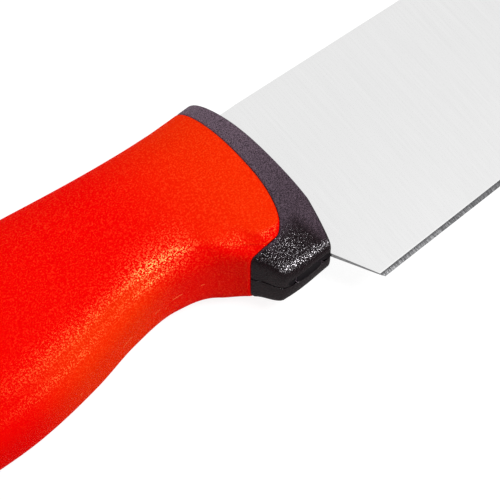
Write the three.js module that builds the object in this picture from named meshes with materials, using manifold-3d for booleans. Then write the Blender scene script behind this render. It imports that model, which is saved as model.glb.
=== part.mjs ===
// Butcher knife, lying on its left side: a steel blade whose tang is pinned between the two halves of a hard
// plastic core, with a soft grip moulded round the core. The front of the core is the collar and finger guard.
//
// Drawing frame, in millimetres: x runs to the tip from where the blade leaves the collar, y runs up to the spine
// from the underside of the finger guard, and z runs out of the knife's right side from the middle of the blade.
// Along the handle, "behind" is the distance behind the collar, so x = -behind.
import * as THREE from "three";
import { mergeVertices } from "three/addons/utils/BufferGeometryUtils.js";
import Module from "manifold-3d";

// Blade
const BLADE_LENGTH = 212;
const BLADE_THICKNESS = 2.4;
const SPINE_HEIGHT = 34;
const SPINE_FALL_DEGREES = 1.96;
const SPINE_CURVE_LENGTH = 72;
const TIP_HEIGHT = 24;
const TIP_FLAT = 0.6;
const HEEL_LEAN = 4.8;
const HEEL_DROP = 8.8;
const EDGE_HEEL_PULL = 70;
const EDGE_HEEL_DEGREES = 2.3;
const EDGE_TIP_PULL = 46;
const EDGE_TIP_DEGREES = 37;
const GRIND_HEIGHT = 20;
const BEVEL_HEIGHT = 0.9;
const BEVEL_THICKNESS = 0.5;
const EDGE_THICKNESS = 0.1;

// Root and tang of the blade, inside the handle
const ROOT_THICKNESS = 2.0;
const ROOT_STEP = 2.4;
const ROOT_LENGTH = 3;
const TANG_HEIGHT = 22;
const TANG_DEPTH_FRONT = 16;
const TANG_DEPTH_REAR = 11;
const TANG_TO_BUTT = 34;

// Handle, seen from its side
const HANDLE_LENGTH = 138;
const COLLAR_TOP = 38;
const NECK_TOP = 37.6;
const NECK_BEHIND = 14;
const BACK_TOP = 41.8;
const BACK_BEHIND = 66;
const BUTT_TOP = 32.5;
const GUARD_LENGTH = 9.8;
const GUARD_DROP = 0.1;
const GROOVE_HEIGHT = 10.3;
const GROOVE_BEHIND = 26;
const BELLY_HEIGHT = 4.55;
const BELLY_BEHIND = 72;
const WAIST_HEIGHT = 6.2;
const WAIST_TO_BUTT = 32;
const HOOK_HEIGHT = 0;
const FRONT_BULGE = 0.6;
const FRONT_SWEEP = 3.4;
const FRONT_FADE = 22;

// Handle, seen from above
const FRONT_WIDTH = 20.4;
const COLLAR_WIDTH = 21.6;
const GRIP_WIDTH = 24;
const BUTT_WIDTH = 21.2;
const NOSE_RADIUS = 0.8;
const BUTT_RADIUS = 9;

// Flanks of the guard, which lean in towards its underside
const FLANK_HEIGHT = 7.5;
const FLANK_LEAN_FRONT = 4.8;
const FLANK_LEAN_REAR = 4.1;
const FLANK_ROUNDING = 1.2;

// Squareness of the handle's section: 2 is an ellipse, and larger is closer to a rectangle
const TOP_SQUARENESS = 2.7;
const GUARD_SQUARENESS = 7.5;
const WALL_SQUARENESS = 9;
const GROOVE_SQUARENESS = 4.6;
const SWELL_SQUARENESS = 3.4;
const BELLY_SQUARENESS = 2.9;
const BUTT_SQUARENESS = 2.5;

// Where the collar ends and the soft grip begins
const BAND_DEPTH = 3.95;
const BAND_HEIGHT = 18;
const BAND_SWEEP = 2.15;
const LOBE_REACH = 5.05;
const GUARD_STEP = 5.15;

// Fit of the pieces in each other
const CLEARANCE = 0.3;
const SLEEVE_WALL = 3.2;
const SLEEVE_END_WALL = 14;
const KEY_WIDTH = 6;
const KEY_DEPTH = 1.2;
const PIN_DIAMETER = 4;
const PIN_RECESS = 0.5;
const FIRST_PIN_BEHIND = 30;
const LAST_PIN_TO_TANG_END = 10;
const PEG_DIAMETER = 3.2;
const PEG_LENGTH = 4;
const GUARD_PEG_BEHIND = 7.2;
const GUARD_PEG_HEIGHT = 6;

// Lens-shaped recess in the guard's underside, along the seam of the core
const RECESS_LENGTH = 10;
const RECESS_WIDTH = 3.2;
const RECESS_DEPTH = 2.2;
const RECESS_OFFSET = 1.2;

// Steps of the faceted surfaces
const SIDE_POINTS = 18;
const CORE_SIDE_POINTS = 12;
const HANDLE_RINGS = 34;
const NOSE_RINGS = 3;
const BUTT_RINGS = 5;
const EDGE_STEPS = 30;
const CURVE_STEPS = 16;
const ROUND_STEPS = 20;
const PAST = 20;

const wasm = await Module();
wasm.setup();

const degrees = (value) => (value * Math.PI) / 180;

// A closed geometry as a solid that can be joined and cut
function solidOf(geometry) {
  const bare = geometry.clone();
  bare.deleteAttribute("normal");
  bare.deleteAttribute("uv");
  const merged = mergeVertices(bare);
  const vertProperties = new Float32Array(merged.attributes.position.array);
  const triVerts = new Uint32Array(merged.index.array);
  return new wasm.Manifold(new wasm.Mesh({ numProp: 3, vertProperties, triVerts }));
}

function geometryOf(solid) {
  const mesh = solid.getMesh();
  const geometry = new THREE.BufferGeometry();
  geometry.setAttribute("position", new THREE.BufferAttribute(mesh.vertProperties, 3));
  geometry.setIndex(new THREE.BufferAttribute(mesh.triVerts, 1));
  geometry.computeVertexNormals();
  return geometry;
}

// A smooth curve through [place, value] knots
function profile(knots) {
  const last = knots.length - 1;
  const rise = (i) => (knots[i + 1][1] - knots[i][1]) / (knots[i + 1][0] - knots[i][0]);
  const slope = knots.map(([place], i) => {
    if (i === 0) return rise(0);
    if (i === last) return rise(last - 1);
    const before = place - knots[i - 1][0];
    const after = knots[i + 1][0] - place;
    return (rise(i - 1) * after + rise(i) * before) / (before + after);
  });
  return (wanted) => {
    const place = Math.min(Math.max(wanted, knots[0][0]), knots[last][0]);
    const next = Math.max(1, knots.findIndex(([end]) => place <= end));
    const [start, from] = knots[next - 1];
    const [end, to] = knots[next];
    const span = end - start;
    const t = (place - start) / span;
    const keepFrom = (1 + 2 * t) * (1 - t) ** 2;
    const leave = t * (1 - t) ** 2 * span * slope[next - 1];
    const arrive = t * t * (t - 1) * span * slope[next];
    return keepFrom * from + (1 - keepFrom) * to + leave + arrive;
  };
}

// Closed solid through rings of equal length. A ring runs up the right side and down the left side, and the
// rings run from the front to the back. Each end is closed by a ladder between the two sides.
function loft(rings) {
  const count = rings[0].length;
  const half = count / 2;
  const index = [];
  const at = (ring, point) => ring * count + (point % count);
  for (let ring = 0; ring < rings.length - 1; ring += 1) {
    for (let point = 0; point < count; point += 1) {
      index.push(at(ring, point), at(ring, point + 1), at(ring + 1, point + 1));
      index.push(at(ring, point), at(ring + 1, point + 1), at(ring + 1, point));
    }
  }
  const end = rings.length - 1;
  for (let point = 0; point < half - 1; point += 1) {
    const across = count - 1 - point;
    index.push(at(0, point), at(0, across), at(0, across - 1));
    index.push(at(0, point), at(0, across - 1), at(0, point + 1));
    index.push(at(end, point), at(end, across - 1), at(end, across));
    index.push(at(end, point), at(end, point + 1), at(end, across - 1));
  }
  const geometry = new THREE.BufferGeometry();
  geometry.setAttribute("position", new THREE.Float32BufferAttribute(rings.flat(2), 3));
  geometry.setIndex(index);
  return solidOf(geometry);
}

// A side outline made into a plate that is centred on the middle of the blade
function plate(shape, thickness) {
  const geometry = new THREE.ExtrudeGeometry(shape, {
    depth: thickness,
    bevelEnabled: false,
    curveSegments: CURVE_STEPS,
  });
  geometry.translate(0, 0, -thickness / 2);
  return solidOf(geometry);
}

function outline(points) {
  return new THREE.Shape(points.map(([x, y]) => new THREE.Vector2(x, y)));
}

// A round bar across the knife, from one z to another
function bar(diameter, x, y, fromZ, toZ) {
  const geometry = new THREE.CylinderGeometry(diameter / 2, diameter / 2, toZ - fromZ, ROUND_STEPS);
  geometry.rotateX(Math.PI / 2);
  geometry.translate(x, y, (fromZ + toZ) / 2);
  return solidOf(geometry);
}

// A block between two corners
function block(low, high) {
  const size = high.map((value, axis) => value - low[axis]);
  const geometry = new THREE.BoxGeometry(...size);
  geometry.translate(...high.map((value, axis) => (value + low[axis]) / 2));
  return solidOf(geometry);
}

// Outlines of the handle along its length

// The walls before and behind the finger groove are set out as shares of their length and height
const GROOVE_RUN = GROOVE_BEHIND - GUARD_LENGTH;
const grooveWall = ([along, up]) => [
  GUARD_LENGTH + along * GROOVE_RUN,
  up * (GROOVE_HEIGHT + GUARD_DROP) - GUARD_DROP,
];
const BELLY_RUN = BELLY_BEHIND - GROOVE_BEHIND;
const bellyWall = ([along, down]) => [
  GROOVE_BEHIND + along * BELLY_RUN,
  GROOVE_HEIGHT + down * (BELLY_HEIGHT - GROOVE_HEIGHT),
];
const underside = profile([
  [0, 0],
  [GUARD_LENGTH, -GUARD_DROP],
  ...[[0.05, 0.02], [0.21, 0.38], [0.52, 0.78]].map(grooveWall),
  [GROOVE_BEHIND, GROOVE_HEIGHT],
  ...[[0.22, 0.18], [0.43, 0.61], [0.74, 0.99]].map(bellyWall),
  [BELLY_BEHIND, BELLY_HEIGHT],
  [HANDLE_LENGTH - WAIST_TO_BUTT, WAIST_HEIGHT],
  [HANDLE_LENGTH, HOOK_HEIGHT],
]);
const topside = profile([
  [0, COLLAR_TOP],
  [NECK_BEHIND, NECK_TOP],
  [BACK_BEHIND, BACK_TOP],
  [HANDLE_LENGTH - WAIST_TO_BUTT, BACK_TOP - (BACK_TOP - BUTT_TOP) / 4],
  [HANDLE_LENGTH, BUTT_TOP],
]);
const halfWidth = profile([
  [0, FRONT_WIDTH / 2],
  [GUARD_LENGTH, COLLAR_WIDTH / 2],
  [GROOVE_BEHIND, COLLAR_WIDTH / 2],
  [BELLY_BEHIND, GRIP_WIDTH / 2],
  [HANDLE_LENGTH, BUTT_WIDTH / 2],
]);
const bottomSquareness = profile([
  [0, GUARD_SQUARENESS],
  [GUARD_LENGTH, GUARD_SQUARENESS],
  [GUARD_LENGTH + 0.25 * GROOVE_RUN, WALL_SQUARENESS],
  [GUARD_LENGTH + 0.62 * GROOVE_RUN, 0.6 * WALL_SQUARENESS],
  [GROOVE_BEHIND, GROOVE_SQUARENESS],
  [GROOVE_BEHIND + 0.43 * BELLY_RUN, SWELL_SQUARENESS],
  [BELLY_BEHIND, BELLY_SQUARENESS],
  [HANDLE_LENGTH, BUTT_SQUARENESS],
]);
const flankLean = profile([
  [0, FLANK_LEAN_FRONT],
  [GUARD_LENGTH, FLANK_LEAN_REAR],
  [GUARD_LENGTH + 0.26 * GROOVE_RUN, 0.42 * FLANK_LEAN_REAR],
  [GUARD_LENGTH + 0.5 * GROOVE_RUN, 0],
  [GROOVE_BEHIND, 0],
]);
// The collar's front bulges at half height and sweeps back at the top
const frontLine = profile([
  [0, 0],
  [COLLAR_TOP / 3, FRONT_BULGE],
  [(COLLAR_TOP * 2) / 3, -FRONT_BULGE / 2],
  [COLLAR_TOP, FRONT_BULGE - FRONT_SWEEP],
]);

// One ring of the handle, drawn in by an inset from its outer surface
function handleRing(behind, inset, sidePoints) {
  const top = topside(behind) - inset;
  const bottom = underside(behind) + inset;
  const width = halfWidth(behind) - inset;
  const middle = (top + bottom) / 2;
  const lean = Math.max(0, flankLean(behind)) / halfWidth(behind);
  const fade = Math.max(0, 1 - behind / FRONT_FADE);
  const ring = [];
  for (let point = 0; point < 2 * sidePoints; point += 1) {
    const angle = ((point + 0.5) / sidePoints - 0.5) * Math.PI;
    const up = Math.sin(angle);
    const out = Math.cos(angle);
    const power = 2 / (up > 0 ? TOP_SQUARENESS : bottomSquareness(behind));
    const reach = up > 0 ? top - middle : middle - bottom;
    const y = middle + Math.sign(up) * reach * Math.abs(up) ** power;
    const low = Math.max(0, 1 - (y - bottom) / FLANK_HEIGHT);
    const z = Math.sign(out) * width * Math.abs(out) ** power * (1 - lean * low ** FLANK_ROUNDING);
    ring.push([frontLine(y) * fade - behind, y, z]);
  }
  return ring;
}

// Outer surface of the collar and grip together, round at the nose and the butt
function handleForm() {
  const rings = [];
  for (let i = 0; i < NOSE_RINGS; i += 1) {
    const turn = (i / NOSE_RINGS) * (Math.PI / 2);
    const behind = NOSE_RADIUS * (1 - Math.cos(turn));
    rings.push(handleRing(behind, NOSE_RADIUS * (1 - Math.sin(turn)), SIDE_POINTS));
  }
  const straight = HANDLE_LENGTH - BUTT_RADIUS - NOSE_RADIUS;
  for (let i = 0; i <= HANDLE_RINGS; i += 1) {
    rings.push(handleRing(NOSE_RADIUS + straight * (i / HANDLE_RINGS) ** 1.6, 0, SIDE_POINTS));
  }
  for (let i = 1; i <= BUTT_RINGS; i += 1) {
    const turn = (i / BUTT_RINGS) * (Math.PI / 2);
    const behind = HANDLE_LENGTH - BUTT_RADIUS * (1 - Math.sin(turn));
    rings.push(handleRing(behind, BUTT_RADIUS * (1 - Math.cos(turn)), SIDE_POINTS));
  }
  return loft(rings);
}

// Places along the handle of what holds the core and the tang together
const TANG_END = HANDLE_LENGTH - TANG_TO_BUTT;
const CORE_END = HANDLE_LENGTH - SLEEVE_END_WALL;
const LAST_PIN = TANG_END - LAST_PIN_TO_TANG_END;
const PINS = {
  tang_pin_front: FIRST_PIN_BEHIND,
  tang_pin_middle: (FIRST_PIN_BEHIND + LAST_PIN) / 2,
  tang_pin_rear: LAST_PIN,
};
const REAR_PEG_BEHIND = (TANG_END + CORE_END) / 2;
const PIN_GAP = (LAST_PIN - FIRST_PIN_BEHIND) / 2;
const KEYS = [1, 2, 3].map((step) => FIRST_PIN_BEHIND + (step - 0.5) * PIN_GAP);

// The core under the grip, with grooves that key the grip to it. Grown by a clearance it is the grip's hollow.
function coreForm(grow) {
  const inset = SLEEVE_WALL - grow;
  const deep = inset + KEY_DEPTH;
  const halfKey = KEY_WIDTH / 2 - grow;
  const end = CORE_END + grow;
  const places = [[NOSE_RADIUS, inset], [GUARD_LENGTH, inset]];
  for (const share of [0.14, 0.28, 0.42, 0.57, 0.78, 1]) {
    places.push([GUARD_LENGTH + share * GROOVE_RUN, inset]);
  }
  let from = GROOVE_BEHIND;
  for (const key of KEYS) {
    const start = key - halfKey;
    places.push([(from + start) / 2, inset]);
    places.push([start, inset], [start, deep], [key + halfKey, deep], [key + halfKey, inset]);
    from = key + halfKey;
  }
  places.push([(from + end) / 2, inset], [end, inset]);
  return loft(places.map(([behind, depth]) => handleRing(behind, depth, CORE_SIDE_POINTS)));
}

// Side view of the collar: a swept band down to the guard, whose step runs back under the grip
function collarRegion(grow) {
  const high = COLLAR_TOP + PAST;
  const rise = high - BAND_HEIGHT;
  const sweep = BAND_SWEEP * (rise / (COLLAR_TOP - BAND_HEIGHT)) ** 2;
  const edge = new THREE.Path();
  edge.moveTo(-BAND_DEPTH - sweep, high);
  edge.quadraticCurveTo(-BAND_DEPTH, BAND_HEIGHT + rise / 2, -BAND_DEPTH, BAND_HEIGHT);
  const lobeX = -BAND_DEPTH - LOBE_REACH;
  edge.absellipse(lobeX, BAND_HEIGHT, LOBE_REACH, BAND_HEIGHT - GUARD_STEP, 0, -Math.PI / 2, true);
  edge.lineTo(-GROOVE_BEHIND, GUARD_STEP);
  const points = edge.getPoints(CURVE_STEPS);
  const moved = points.map((point, i) => {
    const before = points[Math.max(0, i - 1)];
    const after = points[Math.min(points.length - 1, i + 1)];
    const along = after.clone().sub(before).normalize();
    return [point.x + along.y * grow, point.y - along.x * grow];
  });
  const far = [[-GROOVE_BEHIND, -PAST], [PAST, -PAST], [PAST, high]];
  return plate(outline([...moved, ...far]), 2 * GRIP_WIDTH);
}

// Blade

const heelSlope = -HEEL_DROP / HEEL_LEAN;
const tipDrop = SPINE_HEIGHT - Math.tan(degrees(SPINE_FALL_DEGREES)) * BLADE_LENGTH - TIP_HEIGHT - TIP_FLAT;

function spineAt(x) {
  const bend = Math.max(0, 1 - (BLADE_LENGTH - x) / SPINE_CURVE_LENGTH);
  return SPINE_HEIGHT - Math.tan(degrees(SPINE_FALL_DEGREES)) * x - tipDrop * bend ** 2;
}

function cuttingEdge() {
  const heel = new THREE.Vector2(HEEL_LEAN, -HEEL_DROP);
  const tip = new THREE.Vector2(BLADE_LENGTH, TIP_HEIGHT);
  const leave = new THREE.Vector2(EDGE_HEEL_PULL, 0).rotateAround(new THREE.Vector2(), degrees(EDGE_HEEL_DEGREES));
  const arrive = new THREE.Vector2(EDGE_TIP_PULL, 0).rotateAround(new THREE.Vector2(), degrees(EDGE_TIP_DEGREES));
  return new THREE.CubicBezierCurve(heel, heel.clone().add(leave), tip.clone().sub(arrive), tip);
}

// Section of the blade at one place: parallel sides, a long taper, and the cutting bevel
function bladeRing(x, edgeY) {
  const spineY = spineAt(x);
  const depth = spineY - edgeY;
  const heelDepth = SPINE_HEIGHT + HEEL_DROP;
  const grindY = edgeY + (GRIND_HEIGHT * depth) / heelDepth;
  const bevelY = edgeY + Math.min(BEVEL_HEIGHT, (grindY - edgeY) / 2);
  const right = [
    [x, edgeY, EDGE_THICKNESS / 2],
    [x, bevelY, BEVEL_THICKNESS / 2],
    [x, grindY, BLADE_THICKNESS / 2],
    [x, spineY, BLADE_THICKNESS / 2],
  ];
  const left = right.map(([, y, z]) => [x, y, -z]).reverse();
  return [...right, ...left];
}

function bladeForm() {
  const points = cuttingEdge().getPoints(EDGE_STEPS).reverse();
  const rings = points.map((point) => bladeRing(point.x, point.y));
  rings.push(bladeRing(-ROOT_LENGTH, -HEEL_DROP));
  return loft(rings);
}

// Tang in side view, grown by a clearance for the pocket that holds it
function tangOutline(grow) {
  const front = TANG_DEPTH_FRONT / 2 + grow;
  const rear = TANG_DEPTH_REAR / 2 + grow;
  const bend = rear - TANG_END - grow;
  const shape = new THREE.Shape();
  shape.moveTo(0, TANG_HEIGHT - front);
  shape.lineTo(0, TANG_HEIGHT + front);
  shape.lineTo(bend, TANG_HEIGHT + rear);
  shape.absarc(bend, TANG_HEIGHT, rear, Math.PI / 2, (3 * Math.PI) / 2, false);
  shape.closePath();
  return shape;
}

function tangWithHoles() {
  const shape = tangOutline(0);
  for (const behind of Object.values(PINS)) {
    const hole = new THREE.Path();
    hole.absarc(-behind, TANG_HEIGHT, PIN_DIAMETER / 2 + CLEARANCE, 0, 2 * Math.PI, true);
    shape.holes.push(hole);
  }
  return plate(shape, ROOT_THICKNESS);
}

function makeBlade() {
  const side = ROOT_THICKNESS / 2;
  const far = BLADE_THICKNESS;
  const low = -HEEL_DROP - PAST;
  const high = SPINE_HEIGHT + PAST;
  const rightRelief = block([-PAST, low, side], [ROOT_STEP, high, far]);
  const leftRelief = block([-PAST, low, -far], [ROOT_STEP, high, -side]);
  const heelTop = [-PAST, -PAST * heelSlope];
  const heelLow = [HEEL_LEAN + PAST, (HEEL_LEAN + PAST) * heelSlope];
  const behindHeel = plate(outline([heelTop, [-PAST, heelLow[1]], heelLow]), 2 * far);
  return bladeForm().subtract(rightRelief).subtract(leftRelief).subtract(behindHeel).add(tangWithHoles());
}

// Core

// Room for the root of the blade between the two halves of the core
function rootPocket() {
  const back = -ROOT_LENGTH - CLEARANCE;
  const drop = CLEARANCE * Math.hypot(1, heelSlope);
  const bottomAt = (x) => x * heelSlope - drop;
  const topAt = (x) => spineAt(x) + CLEARANCE;
  const front = [[PAST, bottomAt(PAST)], [PAST, topAt(PAST)]];
  const rear = [[back, topAt(back)], [back, bottomAt(back)]];
  return plate(outline([...front, ...rear]), ROOT_THICKNESS + 2 * CLEARANCE);
}

function pegAt(behind, height, grow) {
  return bar(PEG_DIAMETER + 2 * grow, -behind, height, -PEG_LENGTH, PEG_LENGTH + grow);
}

function makeCore() {
  const collar = handleForm().intersect(collarRegion(0));
  const lens = new THREE.SphereGeometry(1, ROUND_STEPS, ROUND_STEPS / 2);
  lens.scale(RECESS_LENGTH / 2, RECESS_DEPTH, RECESS_WIDTH / 2);
  lens.translate(-RECESS_LENGTH / 2, underside(RECESS_LENGTH / 2), RECESS_OFFSET);
  let core = collar.add(coreForm(0)).subtract(rootPocket()).subtract(solidOf(lens));
  core = core.subtract(plate(tangOutline(CLEARANCE), ROOT_THICKNESS + 2 * CLEARANCE));
  for (const behind of Object.values(PINS)) {
    const reach = GRIP_WIDTH / 2;
    core = core.subtract(bar(PIN_DIAMETER + 2 * CLEARANCE, -behind, TANG_HEIGHT, -reach, reach));
  }
  const low = [-HANDLE_LENGTH - PAST, -PAST];
  const high = [PAST, BACK_TOP + PAST];
  const rightSide = block([...low, 0], [...high, GRIP_WIDTH]);
  const leftSide = block([...low, -GRIP_WIDTH], [...high, 0]);
  let right = core.intersect(rightSide);
  let left = core.intersect(leftSide);
  const pegs = [[GUARD_PEG_BEHIND, GUARD_PEG_HEIGHT], [REAR_PEG_BEHIND, TANG_HEIGHT]];
  for (const [behind, height] of pegs) {
    right = right.subtract(pegAt(behind, height, CLEARANCE));
    left = left.add(pegAt(behind, height, 0));
  }
  return { right, left };
}

function makeSleeve() {
  return handleForm().subtract(collarRegion(CLEARANCE)).subtract(coreForm(CLEARANCE));
}

function makePin(behind) {
  const reach = halfWidth(behind) - SLEEVE_WALL - PIN_RECESS;
  return bar(PIN_DIAMETER, -behind, TANG_HEIGHT, -reach, reach);
}

const steel = { color: 0xdedede, roughness: 0.38, metalness: 1 };
const pinSteel = { color: 0xb4b4b8, roughness: 0.45, metalness: 1 };
const blackPlastic = { color: 0x2c282d, roughness: 0.6, metalness: 0 };
const redRubber = { color: 0xe8140a, roughness: 0.55, metalness: 0 };

const knife = new THREE.Group();

function addPiece(name, solid, finish) {
  const mesh = new THREE.Mesh(geometryOf(solid), new THREE.MeshStandardMaterial(finish));
  mesh.name = name;
  knife.add(mesh);
}

const core = makeCore();
addPiece("blade", makeBlade(), steel);
addPiece("core_right", core.right, blackPlastic);
addPiece("core_left", core.left, blackPlastic);
addPiece("grip_sleeve", makeSleeve(), redRubber);
for (const [name, behind] of Object.entries(PINS)) {
  addPiece(name, makePin(behind), pinSteel);
}

// The origin is under the middle of the knife, on the surface that it lies on
const extent = new THREE.Box3().setFromObject(knife, true);
const middle = extent.getCenter(new THREE.Vector3());
knife.position.set(-middle.x, -middle.y, -extent.min.z);

export default knife;
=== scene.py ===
import math

import bmesh
import bpy
import numpy as np
from mathutils import Matrix, Vector


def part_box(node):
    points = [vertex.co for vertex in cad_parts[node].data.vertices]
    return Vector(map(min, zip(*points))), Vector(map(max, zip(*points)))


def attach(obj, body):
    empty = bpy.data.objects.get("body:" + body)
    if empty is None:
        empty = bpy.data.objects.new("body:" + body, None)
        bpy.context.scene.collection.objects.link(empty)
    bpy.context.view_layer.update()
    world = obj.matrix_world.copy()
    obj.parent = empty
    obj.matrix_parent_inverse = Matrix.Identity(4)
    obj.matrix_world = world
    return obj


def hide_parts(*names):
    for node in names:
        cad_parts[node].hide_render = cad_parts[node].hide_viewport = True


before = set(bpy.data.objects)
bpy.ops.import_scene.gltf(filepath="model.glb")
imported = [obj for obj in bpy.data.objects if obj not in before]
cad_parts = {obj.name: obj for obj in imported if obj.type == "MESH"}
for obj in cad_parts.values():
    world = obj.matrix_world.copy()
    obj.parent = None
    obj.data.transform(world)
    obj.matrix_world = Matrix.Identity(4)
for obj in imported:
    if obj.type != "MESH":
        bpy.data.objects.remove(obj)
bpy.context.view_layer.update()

# A butcher knife that lies on its left side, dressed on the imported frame: blade, core halves, grip and pins.
# Sizes are in millimetres in the knife's own drawing frame, as in the part's source: x runs to the tip from
# where the blade leaves the collar, y runs up to the spine from the underside of the finger guard, and z
# runs out of the right side from the middle of the blade. "Behind" is the distance behind the collar.

# Blade
BLADE_LENGTH = 212.0
BLADE_THICKNESS = 2.4
SPINE_HEIGHT = 34.0
SPINE_FALL_DEGREES = 1.96
SPINE_CURVE_LENGTH = 72.0
SPINE_ROUNDING = 0.22
TIP_HEIGHT = 24.0
TIP_FLAT = 0.6
HEEL_LEAN = 4.8
HEEL_DROP = 8.8
EDGE_HEEL_PULL = 70.0
EDGE_HEEL_DEGREES = 2.3
EDGE_TIP_PULL = 46.0
EDGE_TIP_DEGREES = 37.0
GRIND_HEIGHT = 20.0
BEVEL_HEIGHT = 0.9
BEVEL_THICKNESS = 0.5
EDGE_THICKNESS = 0.06
HEEL_FACE_TOP = 6.0
ROOT_LENGTH = 3.0
TANG_THICKNESS = 2.0
TANG_HEIGHT = 22.0
TANG_DEPTH_FRONT = 16.0
TANG_DEPTH_REAR = 11.0
TANG_END = 104.0
TANG_START = 1.0
PIN_HOLE_DIAMETER = 4.2
PINS_BEHIND = (30.0, 62.0, 94.0)

# Blade, as ratios: the taper's reach to the grind's height, and the largest bevel and rounding to the depth
TAPER_REACH = 1.35
BEVEL_SHARE = 0.3
ROUNDING_SHARE = 0.2

# Handle, seen from its side
HANDLE_LENGTH = 138.0
COLLAR_TOP = 38.0
NECK_TOP = 37.6
NECK_BEHIND = 14.0
BACK_TOP = 41.8
BACK_BEHIND = 66.0
BUTT_TOP = 32.5
GUARD_LENGTH = 9.8
GUARD_DROP = 0.1
GROOVE_HEIGHT = 10.3
GROOVE_BEHIND = 26.0
BELLY_HEIGHT = 4.55
BELLY_BEHIND = 72.0
WAIST_HEIGHT = 6.2
WAIST_TO_BUTT = 32.0
HOOK_HEIGHT = 0.0
FRONT_BULGE = 0.6
FRONT_SWEEP = 3.4
FRONT_FADE = 22.0

# Handle, seen from above
FRONT_WIDTH = 20.4
COLLAR_WIDTH = 21.6
GRIP_WIDTH = 24.0
BUTT_WIDTH = 21.2
NOSE_RADIUS = 0.8
BUTT_RADIUS = 9.0

# Flanks of the guard, which lean in towards its underside
FLANK_HEIGHT = 7.5
FLANK_LEAN_FRONT = 4.8
FLANK_LEAN_REAR = 4.1
FLANK_ROUNDING = 1.2

# Slant of the line from the guard's nose to the grip: ahead of it the flanks keep the collar's grey in place
# of the painted shade, and behind it they glint
FLANK_LINE_DEGREES = 30.0

# Squareness of the handle's section: 2 is an ellipse, and larger is closer to a rectangle
TOP_SQUARENESS = 2.7
GUARD_SQUARENESS = 7.5
WALL_SQUARENESS = 9.0
GROOVE_SQUARENESS = 4.6
SWELL_SQUARENESS = 3.4
BELLY_SQUARENESS = 2.9
BUTT_SQUARENESS = 2.5

# Where the collar ends and the soft grip begins
BAND_DEPTH = 3.95
BAND_HEIGHT = 18.0
BAND_SWEEP = 2.15
LOBE_REACH = 5.05
GUARD_STEP = 5.15

# Walls, lips and small features
SKIN_INSET = 0.06
SLEEVE_WALL = 3.2
CORE_START = 3.0
CORE_END = 124.0
CORE_GAP = 0.1
CORE_END_GAP = 0.3
COLLAR_LIP = 0.35
SLEEVE_LIP = 0.45
SEAM_LIP = 0.3
SEAM_GAP = 0.03
SLOT_GAP = 0.06
SLOT_AHEAD = 10.0
SLOT_BACK_GAP = 0.2
FLASH_HEIGHT = 0.07
FLASH_WIDTH = 0.16
FLASH_TOP = 20.0
FLASH_START = 2.0
FLASH_FADE = 4.0
RECESS_LENGTH = 10.0
RECESS_WIDTH = 3.2
RECESS_DEPTH = 2.2
RECESS_OFFSET = 1.2

# Fineness of the meshes
SECTION_POINTS = 721
LOW_SHARE = 0.28
LOW_COLUMNS = 60
HIGH_COLUMNS = 72
STATION_STEP = 0.12
NOSE_ROWS = 12
BUTT_ROWS = 40
SLEEVE_ROWS = 110
SLEEVE_LIP_ROWS = np.array([0, 0.08, 0.16, 0.26, 0.38, 0.52, 0.7])
COLLAR_ROWS = 40
COLLAR_LIP_ROWS = np.array([0.9, 0.6, 0.42, 0.3, 0.2, 0.12, 0.05, 0])
BAND_POINTS = 60
CORE_POINTS = 25
CORE_GROOVE_ROWS = 14
CORE_BELLY_ROWS = 16
EDGE_COLUMNS = 240
EDGE_SAMPLES = 400
HEEL_COLUMNS = 24
SIDE_POINTS = 40
SPINE_POINTS = 6
TANG_END_POINTS = 25
PIN_HOLE_POINTS = 48
LENS_SEGMENTS = 72
LENS_RINGS = 36
SLEEVE_SPREAD = 1.35
SIDE_SPREAD = 1.3
SHARP_DEGREES = 32.0
BLADE_SHARP_DEGREES = 14.0
JOIN_DISTANCE_METRES = 1e-7
LENS_TOLERANCE = 0.002

# Colours: the dark and the light end that a grain or a set of lines runs between
RED_DEEP = ((0.87, 0.0, 0.0003), (0.93, 0.002, 0.0006))
# A warmer red that is painted light, for where light falls strongly on the grip
RED_PAINTED_LIGHT = ((0.87, 0.018, 0.0004), (0.93, 0.03, 0.001))
RED_GLINT = ((0.0003, 0.0002, 0.0001), (0.037, 0.028, 0.0068))
RED_REAR_GLINT = ((0.0003, 0.0002, 0.0001), (0.007, 0.005, 0.0012))
RED_FINGER_GLINT = ((0.0003, 0.0002, 0.0001), (0.15, 0.112, 0.032))
# A pale painted highlight, in dashes on the grip's parting line
RED_PAINTED_GLINT = (1.0, 0.2, 0.06, 1)
# Near black painted shade, for where the core faces down under the guard
PLASTIC_PAINTED_SHADE = ((0.005, 0.003, 0.0035), (0.011, 0.006, 0.008))
PLASTIC_SIDE_GREY = ((0.018, 0.0125, 0.0165), (0.105, 0.073, 0.097))
# A lighter grey painted as light towards the collar's top
PLASTIC_LIT_TOP = ((0.05, 0.035, 0.046), (0.225, 0.157, 0.206))
PLASTIC_DULL_GLINT = ((0.001, 0.0006, 0.0007), (0.005, 0.003, 0.0035))
PLASTIC_GLINT = ((0.001, 0.0008, 0.0009), (0.29, 0.275, 0.29))
PLASTIC_RIDGE_GLINT = ((0.001, 0.0008, 0.0009), (0.65, 0.62, 0.65))
# Near black painted shade inside the recess, mottled
PLASTIC_RECESS_SHADE = ((0.003, 0.002, 0.003), (0.012, 0.009, 0.011))
STEEL_SATIN = ((0.77, 0.77, 0.77), (0.81, 0.81, 0.81))
# Darkened steel that paints in the darker reflection of the bevel and heel face
STEEL_DARK_REFLECTION = ((0.055, 0.055, 0.057), (0.19, 0.19, 0.195))
STEEL_DRAWN = ((0.6, 0.6, 0.62), (0.72, 0.72, 0.74))
WHITE = (1, 1, 1, 1)

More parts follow.
